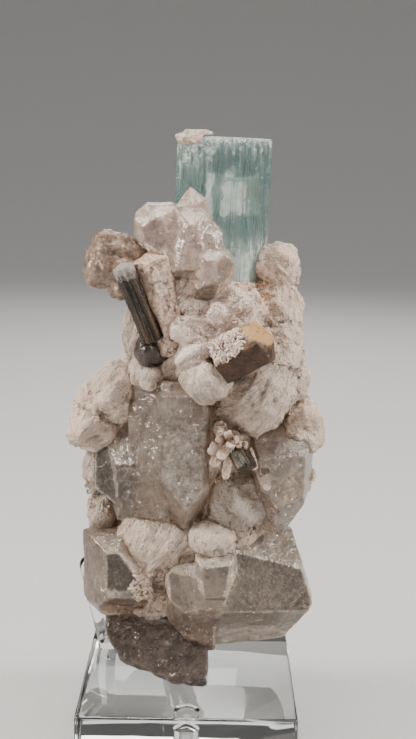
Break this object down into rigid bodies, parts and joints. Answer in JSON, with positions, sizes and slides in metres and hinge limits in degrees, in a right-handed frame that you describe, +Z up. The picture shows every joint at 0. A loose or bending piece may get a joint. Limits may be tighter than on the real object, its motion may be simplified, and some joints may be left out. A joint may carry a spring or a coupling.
{
  "type": "aquamarine and apatite mineral specimen on a clear stand",
  "caption": "Upright mineral group: a pale blue aquamarine prism, brown apatite, black schorl and quartz points on white bladed albite, held on a clear acrylic block with leaning pegs.",
  "frame": {"origin": "centre of the clear block's underside", "axes": "+Z up, the viewer looks along +Y with +X to the right"},
  "size_m": [0.0599, 0.05, 0.1478],
  "materials": {
    "clear_acrylic": "clear cast acrylic, polished",
    "frosted_acrylic": "frosted acrylic rod",
    "albite": "warm white albite in curved blades, tan stains in its hollows",
    "aquamarine": "clear pale blue-green crystal, striated along its length, with white veils inside",
    "crust": "pinkish fine-grained crust",
    "apatite": "brown-pink translucent crystal with an amber end and dark specks",
    "schorl": "black-brown, glossy, striated along its length",
    "quartz": "greyish beige translucent quartz, frosted and etched faces",
    "smoky_quartz": "smoky translucent quartz, speckled"
  },
  "bodies": {
    "root": {"stand_base": "clear_acrylic", "stand_peg_left": "clear_acrylic", "stand_peg_back": "clear_acrylic", "stand_plug": "frosted_acrylic", "albite_matrix": "albite", "aquamarine_crystal": "aquamarine", "aquamarine_crust": "crust", "apatite_crystal": "apatite", "schorl_prism": "schorl", "schorl_stub": "schorl", "quartz_top_cluster": "quartz", "quartz_upper_left": "quartz", "quartz_column": "quartz", "smoky_quartz_knob": "smoky_quartz", "quartz_front": "quartz", "quartz_right": "quartz", "quartz_low_left": "quartz", "quartz_low_right": "quartz", "smoky_quartz_foot": "smoky_quartz"}
  },
  "joints": []
}
